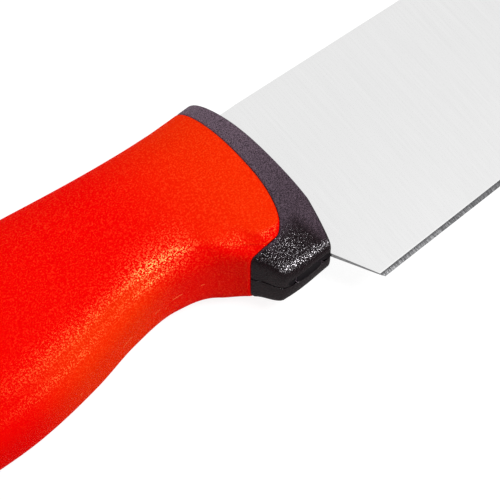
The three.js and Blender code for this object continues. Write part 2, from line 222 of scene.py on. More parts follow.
# Noise on the surfaces, in features per metre, along each axis for the lines and dashes
GRAIN_SCALE = 3400
SPECK_SCALE = 5200
WAVE_SCALE = 700
PATCH_SCALE = 300
MOTTLE_SCALE = 900
CLOUD_SCALE = 45
SATIN_LINES = (2600, 60, 2600)
GROUND_LINES = (4200, 300, 4200)
DRAWN_LINES = (3000, 3000, 200)
GLINT_LINE_DASHES = (300, 20, 20)

# Range of the grain's noise that its colours run over, and the noise above which the painted highlight on the
# parting line shows
GRAIN_SPAN = (0.32, 0.68)
GLINT_LINE_NOISE = 0.57

# Places where the look of the handle changes, in millimetres: ranges over which a mark comes, and goes
FINGER_BEHIND = ((18, 24), (28, 37))
FINGER_HEIGHT = ((9.5, 14.5), (14.5, 20.5))
# Where the warmer red of painted light lies on the belly's edge and beside the collar
BELLY_LIGHT_BEHIND = ((24, 36), (46, 62))
COLLAR_LIGHT_BEHIND = (6, 30)
GLINT_END_BEHIND = (46, 68)
# Heights over which the collar's grey grows lighter towards its top, as painted light
COLLAR_LIGHT_HEIGHT = (2, 40)
RIDGE_HEIGHT = ((0.2, 0.5), (0.7, 1.5))
# Width and top of the parting line that carries the painted highlight
GLINT_LINE_HALF_WIDTH = 0.09
GLINT_LINE_TOP = 14

# Studio, in metres and watts, and the spot behind the collar that its lamps face, in millimetres
FLOOR_HALF_SIZE = 3.0
FLOOR_DROP = 0.0005
FLOOR_GREY = (0.25, 0.25, 0.25, 1)
FLOOR_GLOW = 0.85
WORLD_LIGHT = 0.2
LAMP_TARGET = (-20, 18, 0)

# Camera: the pixel of the 500 by 500 photograph where the blade leaves the collar, and the view's angles
PHOTO_SIZE = 500
ROOT_PIXEL = (332.5, 255.5)
PIXELS_PER_MM = 5.7
CAMERA_DISTANCE = 420.0
CAMERA_ELEVATION = 65.0
CAMERA_AZIMUTH = -37.9
SENSOR_WIDTH = 36.0

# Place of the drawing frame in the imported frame
MM_PER_METRE = 1000.0
blade_low, blade_high = (np.array(corner) * MM_PER_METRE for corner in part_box("blade"))
SHIFT = np.array([
    blade_high[0] - BLADE_LENGTH,
    blade_low[1] + HEEL_DROP,
    (blade_low[2] + blade_high[2]) / 2,
])


def placed(points):
    """Points of the drawing frame, in millimetres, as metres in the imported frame."""
    return (np.asarray(points, float) + SHIFT) / MM_PER_METRE


# Curves

def profile(knots):
    """A smooth curve through (place, value) knots."""
    place, value = np.array(knots, float).T
    rise = np.diff(value) / np.diff(place)
    before, after = np.diff(place)[:-1], np.diff(place)[1:]
    inner = (rise[:-1] * after + rise[1:] * before) / (before + after)
    slope = np.concatenate([rise[:1], inner, rise[-1:]])

    def curve(wanted):
        at = np.clip(np.asarray(wanted, float), place[0], place[-1])
        i = np.clip(np.searchsorted(place, at, side="right") - 1, 0, len(place) - 2)
        span = place[i + 1] - place[i]
        t = (at - place[i]) / span
        keep = (1 + 2 * t) * (1 - t) ** 2
        leave = t * (1 - t) ** 2 * span * slope[i]
        arrive = t * t * (t - 1) * span * slope[i + 1]
        return keep * value[i] + (1 - keep) * value[i + 1] + leave + arrive

    return curve


# Lines along the handle, by distance behind the collar. A wall's knots are shares of its run and its rise.
GROOVE_RUN = GROOVE_BEHIND - GUARD_LENGTH
BELLY_RUN = BELLY_BEHIND - GROOVE_BEHIND
BELLY_FALL = BELLY_HEIGHT - GROOVE_HEIGHT
GROOVE_RISE = GROOVE_HEIGHT + GUARD_DROP
GROOVE_WALL = ((0.05, 0.02), (0.21, 0.38), (0.52, 0.78))
BELLY_WALL = ((0.22, 0.18), (0.43, 0.61), (0.74, 0.99))
underside = profile([
    (0, 0),
    (GUARD_LENGTH, -GUARD_DROP),
    *((GUARD_LENGTH + along * GROOVE_RUN, up * GROOVE_RISE - GUARD_DROP) for along, up in GROOVE_WALL),
    (GROOVE_BEHIND, GROOVE_HEIGHT),
    *((GROOVE_BEHIND + along * BELLY_RUN, GROOVE_HEIGHT + down * BELLY_FALL) for along, down in BELLY_WALL),
    (BELLY_BEHIND, BELLY_HEIGHT),
    (HANDLE_LENGTH - WAIST_TO_BUTT, WAIST_HEIGHT),
    (HANDLE_LENGTH, HOOK_HEIGHT),
])
topside = profile([
    (0, COLLAR_TOP),
    (NECK_BEHIND, NECK_TOP),
    (BACK_BEHIND, BACK_TOP),
    (HANDLE_LENGTH - WAIST_TO_BUTT, BACK_TOP - (BACK_TOP - BUTT_TOP) / 4),
    (HANDLE_LENGTH, BUTT_TOP),
])
half_width = profile([
    (0, FRONT_WIDTH / 2),
    (GUARD_LENGTH, COLLAR_WIDTH / 2),
    (GROOVE_BEHIND, COLLAR_WIDTH / 2),
    (BELLY_BEHIND, GRIP_WIDTH / 2),
    (HANDLE_LENGTH, BUTT_WIDTH / 2),
])
bottom_squareness = profile([
    (0, GUARD_SQUARENESS),
    (GUARD_LENGTH, GUARD_SQUARENESS),
    (GUARD_LENGTH + 0.25 * GROOVE_RUN, WALL_SQUARENESS),
    (GUARD_LENGTH + 0.62 * GROOVE_RUN, 0.6 * WALL_SQUARENESS),
    (GROOVE_BEHIND, GROOVE_SQUARENESS),
    (GROOVE_BEHIND + 0.43 * BELLY_RUN, SWELL_SQUARENESS),
    (BELLY_BEHIND, BELLY_SQUARENESS),
    (HANDLE_LENGTH, BUTT_SQUARENESS),
])
flank_lean = profile([
    (0, FLANK_LEAN_FRONT),
    (GUARD_LENGTH, FLANK_LEAN_REAR),
    (GUARD_LENGTH + 0.26 * GROOVE_RUN, 0.42 * FLANK_LEAN_REAR),
    (GUARD_LENGTH + 0.5 * GROOVE_RUN, 0),
    (GROOVE_BEHIND, 0),
])
front_line = profile([
    (0, 0),
    (COLLAR_TOP / 3, FRONT_BULGE),
    (COLLAR_TOP * 2 / 3, -FRONT_BULGE / 2),
    (COLLAR_TOP, FRONT_BULGE - FRONT_SWEEP),
])


def end_inset(behind):
    """How far the round nose and butt draw the section in."""
    nose = np.clip(NOSE_RADIUS - behind, 0, NOSE_RADIUS)
    butt = np.clip(behind - HANDLE_LENGTH + BUTT_RADIUS, 0, BUTT_RADIUS)
    return (NOSE_RADIUS - np.sqrt(NOSE_RADIUS ** 2 - nose ** 2)
            + BUTT_RADIUS - np.sqrt(BUTT_RADIUS ** 2 - butt ** 2))


def section(behind, inset, shares):
    """Right half of the handle's section, bottom to top, at the given shares of its length round."""
    top = topside(behind) - inset
    bottom = underside(behind) + inset
    width = half_width(behind) - inset
    middle = (top + bottom) / 2
    angle = np.linspace(-math.pi / 2, math.pi / 2, SECTION_POINTS)
    up, out = np.sin(angle), np.abs(np.cos(angle))
    power = np.where(up > 0, TOP_SQUARENESS, bottom_squareness(behind))
    reach = (top - bottom) / 2
    radius = ((out / width) ** power + (np.abs(up) / reach) ** power) ** (-1 / power)
    y, z = middle + radius * up, radius * out
    low = np.maximum(0, 1 - (y - bottom) / FLANK_HEIGHT)
    lean = np.maximum(0, flank_lean(behind)) / half_width(behind)
    z = z * (1 - lean * low ** FLANK_ROUNDING)
    run = np.concatenate([[0], np.cumsum(np.hypot(np.diff(y), np.diff(z)))])
    return np.interp(shares * run[-1], run, y), np.interp(shares * run[-1], run, z)


def side_shares():
    """Shares round the section, closer together low down where the guard's details are."""
    low = np.linspace(0, LOW_SHARE, LOW_COLUMNS, endpoint=False)
    high = np.linspace(LOW_SHARE, 1, HIGH_COLUMNS + 1)
    return np.concatenate([low, high])


SHARES = side_shares()
NOSE_STEPS = NOSE_RADIUS * (1 - np.cos(np.linspace(0, math.pi / 2, NOSE_ROWS, endpoint=False)))
BUTT_STEPS = HANDLE_LENGTH - BUTT_RADIUS * (1 - np.sin(np.linspace(0, math.pi / 2, BUTT_ROWS)))
MIDDLE_STEPS = np.arange(NOSE_RADIUS, HANDLE_LENGTH - BUTT_RADIUS, STATION_STEP)
STATIONS = np.concatenate([NOSE_STEPS, MIDDLE_STEPS, BUTT_STEPS])
# A hair inside the solid, whose flat facets the smooth surface would bulge out of
FORM = np.array([section(s, end_inset(s) + SKIN_INSET, SHARES) for s in STATIONS])
HOLLOW = np.array([section(s, SLEEVE_WALL, SHARES) for s in STATIONS])


def handle_points(behind, form=FORM):
    """Points of the handle's right outer surface or hollow; behind has one column for each share."""
    y = np.stack([np.interp(behind[:, c], STATIONS, form[:, 0, c]) for c in range(len(SHARES))], 1)
    z = np.stack([np.interp(behind[:, c], STATIONS, form[:, 1, c]) for c in range(len(SHARES))], 1)
    fade = np.maximum(0, 1 - behind / FRONT_FADE)
    return np.stack([front_line(y) * fade - behind, y, z], -1)


def outward(points):
    """Unit normals of a grid of points on the right side of the handle."""
    along = np.gradient(points, axis=0)
    across = np.gradient(points, axis=1)
    across[:, 0] = (0, 0, 1)
    across[:, -1] = (0, 0, -1)
    normal = np.cross(across, along)
    length = np.linalg.norm(normal, axis=-1, keepdims=True)
    normal = normal / np.maximum(length, 1e-9)
    centre = points.mean(axis=1, keepdims=True) * (1, 1, 0)
    facing = np.sum(normal * (points - centre))
    return normal if facing > 0 else -normal


def band_edge():
    """The line between collar and grip in side view, from the top down and back under the grip."""
    above_collar = COLLAR_TOP + 8
    y = np.linspace(above_collar, BAND_HEIGHT, BAND_POINTS, endpoint=False)
    sweep = BAND_SWEEP * ((y - BAND_HEIGHT) / (COLLAR_TOP - BAND_HEIGHT)) ** 2
    band = np.stack([-BAND_DEPTH - sweep, y], 1)
    turn = np.linspace(0, -math.pi / 2, BAND_POINTS)
    lobe_x = -BAND_DEPTH - LOBE_REACH
    lobe_y = BAND_HEIGHT + (BAND_HEIGHT - GUARD_STEP) * np.sin(turn)
    lobe = np.stack([lobe_x + LOBE_REACH * np.cos(turn), lobe_y], 1)
    step = np.array([(-GROOVE_BEHIND, GUARD_STEP)])
    return np.concatenate([band, lobe, step])


BAND = band_edge()


def ahead_of_band(points):
    """Distance in side view from the line between collar and grip: positive on the collar."""
    p = points[..., None, :2]
    start, end = BAND[:-1], BAND[1:]
    run = end - start
    t = np.clip(np.sum((p - start) * run, -1) / np.sum(run * run, -1), 0, 1)
    away = p - (start + t[..., None] * run)
    distance = np.linalg.norm(away, axis=-1)
    nearest = np.argmin(distance, axis=-1)[..., None]
    side = run[..., 0] * (p[..., 1] - start[..., 1]) - run[..., 1] * (p[..., 0] - start[..., 0])
    sign = np.sign(np.take_along_axis(side, nearest, -1)[..., 0])
    return sign * np.take_along_axis(distance, nearest, -1)[..., 0]


def band_stations():
    """How far behind the collar each column crosses the line between collar and grip, found by halving."""
    nearest, farthest, halvings = 1.0, 17.0, 30
    near = np.full(len(SHARES), nearest)
    far = np.full(len(SHARES), farthest)
    for _ in range(halvings):
        middle = (near + far) / 2
        inside = ahead_of_band(handle_points(middle[None, :])[0]) > 0
        near = np.where(inside, middle, near)
        far = np.where(inside, far, middle)
    return (near + far) / 2


BAND_BEHIND = band_stations()


def lip_inset(distance, radius):
    """Depth of a rounded edge at a distance from it."""
    short = np.clip(radius - np.abs(distance), 0, radius)
    return radius - np.sqrt(radius ** 2 - short ** 2)


# Meshes

def mesh_object(name, points, faces, sharp_degrees=SHARP_DEGREES):
    """A new object from points in the drawing frame, with doubles joined and its faces turned outwards."""
    mesh = bpy.data.meshes.new(name)
    mesh.from_pydata([tuple(p) for p in placed(points)], [], [tuple(int(i) for i in f) for f in faces])
    mesh.validate()
    joined = bmesh.new()
    joined.from_mesh(mesh)
    bmesh.ops.remove_doubles(joined, verts=joined.verts, dist=JOIN_DISTANCE_METRES)
    bmesh.ops.recalc_face_normals(joined, faces=joined.faces)
    joined.to_mesh(mesh)
    joined.free()
    thing = bpy.data.objects.new(name, mesh)
    bpy.context.scene.collection.objects.link(thing)
    shade(thing, sharp_degrees)
    return thing


def shade(thing, degrees):
    """Smooth shading that keeps edges sharper than the given angle."""
    mesh = thing.data
    mesh.polygons.foreach_set("use_smooth", np.ones(len(mesh.polygons), bool))
    mesh.set_sharp_from_angle(angle=math.radians(degrees))


def grid_faces(rows, columns, closed):
    """Quads of a grid of points, whose rows may be closed loops."""
    last = columns if closed else columns - 1
    r, c = np.meshgrid(np.arange(rows - 1), np.arange(last), indexing="ij")
    n = (c + 1) % columns
    quads = np.stack([r * columns + c, r * columns + n, (r + 1) * columns + n, (r + 1) * columns + c], -1)
    return quads.reshape(-1, 4)


def ladder_faces(start, columns):
    """Quads that close a loop which runs up one side and down the other."""
    half = columns // 2
    rungs = np.arange(1, half - 1)
    ends = [(start, start + 1, start + columns - 1), (start + half - 1, start + half, start + half + 1)]
    quads = [(start + k, start + k + 1, start + columns - k - 1, start + columns - k) for k in rungs]
    return [ends[0], ends[1], *quads]


def both_sides(right):
    """Closed loops from rows of the right side: up the right, down the left, sharing both ends."""
    left = right[:, -2:0:-1] * (1, 1, -1)
    loops = np.concatenate([right, left], axis=1)
    middle = right.shape[1] - 1
    loops[:, [0, middle], 2] = 0
    return loops


def close_loops(name, loops):
    """A closed object from rows of closed loops."""
    rows, columns = loops.shape[:2]
    faces = [*grid_faces(rows, columns, True)]
    faces += ladder_faces(0, columns)
    faces += ladder_faces((rows - 1) * columns, columns)
    return mesh_object(name, loops.reshape(-1, 3), faces)


def combine(thing, operation, other):
    """Join or cut a closed mesh with another one, which is used up."""
    modifier = thing.modifiers.new("combine", "BOOLEAN")
    modifier.operation = operation
    modifier.solver = "MANIFOLD"
    modifier.object = other
    depsgraph = bpy.context.evaluated_depsgraph_get()
    result = bpy.data.meshes.new_from_object(thing.evaluated_get(depsgraph))
    thing.modifiers.clear()
    old = thing.data
    thing.data = result
    bpy.data.meshes.remove(old)
    bpy.data.objects.remove(other)


def plate_object(name, outline, low_z, high_z):
    """A closed plate from a side outline."""
    outline = np.asarray(outline, float)
    n = len(outline)
    low = np.c_[outline, np.full(n, low_z)]
    high = np.c_[outline, np.full(n, high_z)]
    sides = [(k, (k + 1) % n, n + (k + 1) % n, n + k) for k in range(n)]
    return mesh_object(name, np.concatenate([low, high]), [range(n), range(n, 2 * n), *sides])


def pin_hole(behind):
    """A bar across the whole knife where a pin passes through it."""
    turn = np.linspace(0, 2 * math.pi, PIN_HOLE_POINTS, endpoint=False)
    x = PIN_HOLE_DIAMETER / 2 * np.cos(turn) - behind
    y = PIN_HOLE_DIAMETER / 2 * np.sin(turn) + TANG_HEIGHT
    return plate_object("pin_hole", np.stack([x, y], 1), -GRIP_WIDTH, GRIP_WIDTH)


# Grip

def make_sleeve():
    """The soft grip: a cup whose rounded front lip meets the collar, with a hollow for the core."""
    lip_end = BAND_BEHIND + SLEEVE_LIP_ROWS[-1]
    closer_in_front = np.linspace(0, 1, SLEEVE_ROWS)[1:] ** SLEEVE_SPREAD
    rows = [BAND_BEHIND + step for step in SLEEVE_LIP_ROWS]
    rows += [lip_end + (BUTT_STEPS[0] - lip_end) * share for share in closer_in_front]
    rows += [np.full(len(SHARES), step) for step in BUTT_STEPS[1::2]]
    behind = np.array(rows)
    outer = handle_points(behind)
    normal = outward(outer)
    inset = lip_inset(ahead_of_band(outer), SLEEVE_LIP)
    flash = flash_height(behind, outer)
    skin = outer - normal * (inset - flash)[..., None]
    front = outer[:1] - normal[:1]
    hollow = handle_points(behind, HOLLOW)[behind[:, 0] <= CORE_END]
    right = np.concatenate([skin[::-1], front, hollow])
    return close_loops("grip_sleeve_skin", both_sides(right))


def flash_height(behind, points):
    """A faint broken ridge that the mould's parting line leaves along the underside."""
    ridge = np.exp(-(points[..., 2] / FLASH_WIDTH) ** 2) * (points[..., 1] < FLASH_TOP)
    waves = 0.5 + 0.5 * np.sin(behind * 0.83) * np.sin(behind * 0.37 + 1.1)
    broken = np.clip(waves * 1.6 - 0.3, 0, 1)
    fade = np.clip((behind - BAND_BEHIND - FLASH_START) / FLASH_FADE, 0, 1)
    return FLASH_HEIGHT * ridge * broken * fade * (behind < HANDLE_LENGTH - BUTT_RADIUS)


# Collar

def half_core(name, side):
    """One half of the hard core: its share of the collar and guard, and the long core inside the grip."""
    last = BAND_BEHIND - COLLAR_LIP_ROWS[0]
    spread = np.linspace(0, 1, COLLAR_ROWS)[1:-1]
    rows = [*(NOSE_STEPS[:, None] + np.zeros(len(SHARES)))]
    rows += [NOSE_RADIUS + (last - NOSE_RADIUS) * share for share in spread]
    rows += [BAND_BEHIND - step for step in COLLAR_LIP_ROWS]
    outer = handle_points(np.array(rows))
    normal = outward(outer)
    steps = np.linalg.norm(np.diff(outer, axis=1), axis=-1)
    run = np.concatenate([np.zeros((len(outer), 1)), steps], 1).cumsum(1)
    from_seam = np.minimum(run, run[:, -1:] - run)
    inset = lip_inset(ahead_of_band(outer), COLLAR_LIP) + lip_inset(from_seam, SEAM_LIP)
    collar = close_loops(name, half_loops(outer - normal * inset[..., None], side))
    combine(collar, "UNION", inner_core(side))
    for cutter in core_cutters():
        combine(collar, "DIFFERENCE", cutter)
    shade(collar, SHARP_DEGREES)
    return collar


def half_loops(skin, side):
    """Closed loops of one core half: round its outside, and back along the flat at the seam."""
    skin = np.maximum(skin, (-np.inf, -np.inf, SEAM_GAP))
    flat = skin * (1, 1, 0) + (0, 0, SEAM_GAP)
    return np.concatenate([skin, flat[:, -2:0:-1]], axis=1) * (1, 1, side)


def inner_core(side):
    """The part of one core half that the grip hides."""
    shares = np.linspace(0, 1, CORE_POINTS)
    over_groove = np.linspace(CORE_START, GROOVE_BEHIND, CORE_GROOVE_ROWS)
    over_belly = np.linspace(GROOVE_BEHIND, CORE_END - CORE_END_GAP, CORE_BELLY_ROWS)[1:]
    rows = []
    for behind in (*over_groove, *over_belly):
        y, z = section(behind, SLEEVE_WALL + CORE_GAP, shares)
        x = front_line(y) * max(0, 1 - behind / FRONT_FADE) - behind
        rows.append(np.stack([x, y, z], 1))
    return close_loops("inner_core", half_loops(np.array(rows), side))


def core_cutters():
    """Room for the blade's root and tang and for the pins, and the lens-shaped recess under the guard."""
    slope = -HEEL_DROP / HEEL_LEAN
    front, back = SLOT_AHEAD, -ROOT_LENGTH - SLOT_BACK_GAP
    root = [
        (front, front * slope),
        (front, spine_at(front) + SLOT_GAP),
        (back, spine_at(back) + SLOT_GAP),
        (back, back * slope),
    ]
    slot = BLADE_THICKNESS / 2 + SLOT_GAP
    yield plate_object("root_slot", root, -slot, slot)
    tang = TANG_THICKNESS / 2 + SLOT_GAP
    yield plate_object("tang_slot", tang_outline(SLOT_GAP), -tang, tang)
    for behind in PINS_BEHIND:
        yield pin_hole(behind)
    yield recess_lens()


# Middle and half sizes of the lens-shaped recess under the guard
RECESS_MIDDLE = np.array([-RECESS_LENGTH / 2, underside(RECESS_LENGTH / 2), RECESS_OFFSET])
RECESS_REACH = np.array([RECESS_LENGTH / 2, RECESS_DEPTH, RECESS_WIDTH / 2])


def recess_lens():
    """The cutter for the recess."""
    lens = bmesh.new()
    bmesh.ops.create_uvsphere(lens, u_segments=LENS_SEGMENTS, v_segments=LENS_RINGS, radius=1.0)
    lens.verts.index_update()
    points = np.array([vertex.co for vertex in lens.verts]) * RECESS_REACH + RECESS_MIDDLE
    faces = [[vertex.index for vertex in face.verts] for face in lens.faces]
    lens.free()
    return mesh_object("recess_lens", points, faces)


# Blade

SPINE_SLOPE = math.tan(math.radians(SPINE_FALL_DEGREES))
TIP_BEND = SPINE_HEIGHT - SPINE_SLOPE * BLADE_LENGTH - TIP_HEIGHT - TIP_FLAT


def spine_at(x):
    """Height of the spine: a straight fall, and a curve down to the tip."""
    bend = np.maximum(0, 1 - (BLADE_LENGTH - x) / SPINE_CURVE_LENGTH)
    return SPINE_HEIGHT - SPINE_SLOPE * x - TIP_BEND * bend ** 2


def edge_points(count):
    """The cutting edge from heel to tip, a cubic curve."""
    heel, tip = np.array([HEEL_LEAN, -HEEL_DROP]), np.array([BLADE_LENGTH, TIP_HEIGHT])
    leave, arrive = math.radians(EDGE_HEEL_DEGREES), math.radians(EDGE_TIP_DEGREES)
    first = heel + EDGE_HEEL_PULL * np.array([math.cos(leave), math.sin(leave)])
    second = tip - EDGE_TIP_PULL * np.array([math.cos(arrive), math.sin(arrive)])
    t = np.linspace(0, 1, count)[:, None]
    pulled = 3 * first * t * (1 - t) ** 2 + 3 * second * t * t * (1 - t)
    return heel * (1 - t) ** 3 + pulled + tip * t ** 3


def tang_outline(grow):
    """The tang in side view, grown by a gap for the slot that holds it."""
    front, rear = TANG_DEPTH_FRONT / 2 + grow, TANG_DEPTH_REAR / 2 + grow
    bend = rear - TANG_END - grow
    turn = np.linspace(math.pi / 2, 3 * math.pi / 2, TANG_END_POINTS)
    end = np.stack([bend + rear * np.cos(turn), TANG_HEIGHT + rear * np.sin(turn)], 1)
    start = [(-TANG_START, TANG_HEIGHT - front), (-TANG_START, TANG_HEIGHT + front)]
    return np.concatenate([start, end])


def make_blade():
    """The blade: rounded spine, tapered sides, cutting bevel and slanted heel, with its tang."""
    columns = [blade_column(x, low, spine_at(x)) for x, low in edge_points(EDGE_COLUMNS)]
    right = np.array([*heel_columns(columns[0]), *columns])
    left = right[:, ::-1] * (1, 1, -1)
    loops = np.concatenate([right, left], axis=1)
    rows, count = loops.shape[:2]
    faces = [*grid_faces(rows, count, True)]
    rungs = range(count // 2 - 1)
    for start in (0, (rows - 1) * count):
        end = start + count - 1
        faces += [(start + k, start + k + 1, end - k - 1, end - k) for k in rungs]
    blade = mesh_object("blade_body", loops.reshape(-1, 3), faces, BLADE_SHARP_DEGREES)
    tang = plate_object("tang", tang_outline(0), -TANG_THICKNESS / 2, TANG_THICKNESS / 2)
    combine(blade, "UNION", tang)
    for behind in PINS_BEHIND:
        combine(blade, "DIFFERENCE", pin_hole(behind))
    shade(blade, BLADE_SHARP_DEGREES)
    return blade


def side_half_thickness(height, depth):
    """Half thickness at a height above the bevel: a long taper that eases into parallel sides."""
    reach = TAPER_REACH * GRIND_HEIGHT * depth / (SPINE_HEIGHT + HEEL_DROP)
    full, thin = BLADE_THICKNESS / 2, BEVEL_THICKNESS / 2
    t = np.clip(height / reach, 0, 1)
    return thin + (full - thin) * (1.5 * t - 0.5 * t ** 3)


def blade_column(x, low, high):
    """Right side of one section, from the edge to the spine."""
    depth = high - low
    bevel = min(BEVEL_HEIGHT, depth * BEVEL_SHARE)
    radius = min(SPINE_ROUNDING, depth * ROUNDING_SHARE)
    closer_below = np.linspace(0, 1, SIDE_POINTS) ** SIDE_SPREAD
    side_y = low + bevel + (depth - bevel - radius) * closer_below
    side_z = side_half_thickness(side_y - low - bevel, depth)
    turn = np.linspace(0, math.pi / 2, SPINE_POINTS)[1:]
    spine_y = high - radius + radius * np.sin(turn)
    spine_z = side_z[-1] - radius + radius * np.cos(turn)
    bevel_y = [low, low + bevel * 0.5]
    bevel_z = [EDGE_THICKNESS / 2, (EDGE_THICKNESS + BEVEL_THICKNESS) / 4]
    y = np.concatenate([bevel_y, side_y, spine_y])
    z = np.concatenate([bevel_z, side_z, spine_z])
    return np.stack([np.full(len(y), x), y, z], 1)


def heel_columns(first):
    """Columns from the slanted heel face to the first upright section."""
    y = first[:, 1]
    lean = HEEL_LEAN / HEEL_DROP
    heel_x = np.maximum(-ROOT_LENGTH, -y * lean)
    shares = np.linspace(0, 1, HEEL_COLUMNS, endpoint=False)
    return [np.stack([heel_x + (first[:, 0] - heel_x) * share, y, first[:, 2]], 1) for share in shares]


# Nodes of a material

class Surface:
    """The node tree of a material or the world. Most calls add nodes and give back an output socket."""

    def __init__(self, tree):
        self.nodes = tree.nodes
        self.links = tree.links

    def feed(self, node, inputs):
        """Link inputs of a node to other nodes' outputs, or set them to numbers and colours."""
        for key, value in inputs.items():
            if isinstance(value, bpy.types.NodeSocket):
                self.links.new(value, node.inputs[key])
            else:
                node.inputs[key].default_value = value

    def node(self, kind, inputs=None, **settings):
        """A new node with its settings and inputs."""
        node = self.nodes.new(kind)
        for key, value in settings.items():
            setattr(node, key, value)
        self.feed(node, inputs or {})
        return node

    def maths(self, operation, first, second=0.0):
        """One operation on two values, each a socket or a number."""
        return self.node("ShaderNodeMath", {0: first, 1: second}, operation=operation).outputs["Value"]

    def scaled(self, value, low, high):
        """A 0 to 1 value moved to a range."""
        inputs = {"Value": value, "To Min": low, "To Max": high}
        return self.node("ShaderNodeMapRange", inputs).outputs["Result"]

    def eased(self, value, low, high):
        """0 below low and 1 above high, smooth between them."""
        inputs = {"Value": value, "From Min": low, "From Max": high}
        return self.node("ShaderNodeMapRange", inputs, interpolation_type="SMOOTHSTEP").outputs["Result"]

    def fading(self, value, low, high):
        """1 below low and 0 above high, smooth between them."""
        return self.maths("SUBTRACT", 1.0, self.eased(value, low, high))

    def window(self, value, rise, fall):
        """1 between a rise and a fall, each a range of values, and 0 outside them."""
        return self.maths("SUBTRACT", self.eased(value, *rise), self.eased(value, *fall))

    def mixed(self, share, first, second):
        """The first colour where the share is 0 and the second where it is 1."""
        inputs = {"Factor": share, "A": first, "B": second}
        return self.node("ShaderNodeMix", inputs, data_type="RGBA").outputs["Result"]

    def noise(self, scale, detail, roughness=0.5, stretch=None):
        """Noise in object space, in features per metre."""
        place = self.node("ShaderNodeTexCoord").outputs["Object"]
        if stretch:
            place = self.node("ShaderNodeMapping", {"Vector": place, "Scale": stretch}).outputs["Vector"]
        inputs = {"Vector": place, "Scale": scale, "Detail": detail, "Roughness": roughness}
        return self.node("ShaderNodeTexNoise", inputs).outputs["Fac"]

    def ramp(self, value, span, colours):
        """A value between the ends of a span turned into a colour between two colours."""
        node = self.node("ShaderNodeValToRGB", {"Fac": value})
        for element, position, colour in zip(node.color_ramp.elements, span, colours):
            element.position = position
            element.color = (*colour, 1)
        return node.outputs["Color"]

    def bump(self, height, strength, distance, under=None):
        """A normal with relief, on top of another normal if one is given."""
        inputs = {"Height": height, "Strength": strength, "Distance": distance}
        if under:
            inputs["Normal"] = under
        return self.node("ShaderNodeBump", inputs).outputs["Normal"]

    def split(self, vector):
        """The x, y and z of a vector."""
        return self.node("ShaderNodeSeparateXYZ", {"Vector": vector}).outputs

    def normal(self):
        """The x, y and z of the surface's normal."""
        return self.split(self.node("ShaderNodeNewGeometry").outputs["Normal"])

    def drawn(self):
        """The x, y and z of a place in the drawing frame, in millimetres."""
        place = self.node("ShaderNodeTexCoord").outputs["Object"]
        inputs = {0: place, 1: (MM_PER_METRE,) * 3, 2: tuple(-SHIFT)}
        drawn = self.node("ShaderNodeVectorMath", inputs, operation="MULTIPLY_ADD")
        return self.split(drawn.outputs["Vector"])

    def behind(self):
        """Distance behind the collar, in millimetres."""
        return self.maths("MULTIPLY", self.drawn()["X"], -1.0)

    def height(self):
        """Height above the underside of the finger guard, in millimetres."""
        return self.drawn()["Y"]


def new_material(name):
    """A new material, its nodes and its main shader."""
    material = bpy.data.materials.new(name)
    material.use_nodes = True
    surface = Surface(material.node_tree)
    return material, surface, surface.nodes["Principled BSDF"]


def add_glints(surface, shader, colour, normal, roughness):
    """A weak gloss on the grain, added to the matte shader."""
    inputs = {"Color": colour, "Normal": normal, "Roughness": roughness}
    gloss = surface.node("ShaderNodeBsdfGlossy", inputs)
    both = surface.node("ShaderNodeAddShader", {0: shader.outputs["BSDF"], 1: gloss.outputs["BSDF"]})
    surface.feed(surface.nodes["Material Output"], {"Surface": both.outputs["Shader"]})


# Materials

def red_rubber():
    """The soft grip: finely grained, with a warmer red painted in as light where light falls strongly, a pale
    painted highlight on the parting line, and glints on the grain.
    """
    material, surface, shader = new_material("grip_rubber")
    grain = surface.noise(GRAIN_SCALE, detail=1.0)
    soft = surface.noise(WAVE_SCALE, detail=2.0)
    deep = surface.ramp(grain, GRAIN_SPAN, RED_DEEP)
    lit_red = surface.ramp(grain, GRAIN_SPAN, RED_PAINTED_LIGHT)
    # Painted light: a warmer red where light falls strongly on the grip
    colour = surface.mixed(painted_warm_light(surface), deep, lit_red)
    waves = surface.bump(soft, strength=0.12, distance=0.0003)
    surface.feed(shader, {
        # Painted highlight: pale dashes on the parting line
        "Base Color": surface.mixed(painted_glint_line(surface), colour, RED_PAINTED_GLINT),
        "Roughness": surface.scaled(soft, 0.55, 0.7),
        "Normal": surface.bump(grain, strength=1.0, distance=0.0001, under=waves),
        "Specular IOR Level": 0.01,
    })
    front_glint = surface.ramp(grain, (0.48, 0.7), RED_GLINT)
    rear_glint = surface.ramp(grain, (0.48, 0.7), RED_REAR_GLINT)
    finger_glint = surface.ramp(grain, (0.46, 0.68), RED_FINGER_GLINT)
    glint = surface.mixed(surface.eased(surface.behind(), *GLINT_END_BEHIND), front_glint, rear_glint)
    glint = surface.mixed(finger_place(surface), glint, finger_glint)
    shallow = surface.bump(grain, strength=1.0, distance=0.00005, under=waves)
    add_glints(surface, shader, glint, shallow, roughness=0.29)
    return material


def finger_place(surface):
    """1 above the finger groove, where the forefinger polishes the grip."""
    along = surface.window(surface.behind(), *FINGER_BEHIND)
    up = surface.window(surface.height(), *FINGER_HEIGHT)
    return surface.maths("MULTIPLY", along, up)


def painted_warm_light(surface):
    """1 where a warmer red is painted in as light: beside the collar where it does not face down, and on the
    belly's downward-facing edge.
    """
    facing_up = surface.normal()["Y"]
    behind = surface.behind()
    beside_collar = surface.fading(behind, *COLLAR_LIGHT_BEHIND)
    upper = surface.eased(facing_up, -0.45, -0.1)
    swell = surface.window(behind, *BELLY_LIGHT_BEHIND)
    under = surface.fading(facing_up, -0.5, -0.2)
    collar_end = surface.maths("MULTIPLY", beside_collar, upper)
    belly_edge = surface.maths("MULTIPLY", swell, under)
    return surface.maths("MAXIMUM", collar_end, belly_edge)


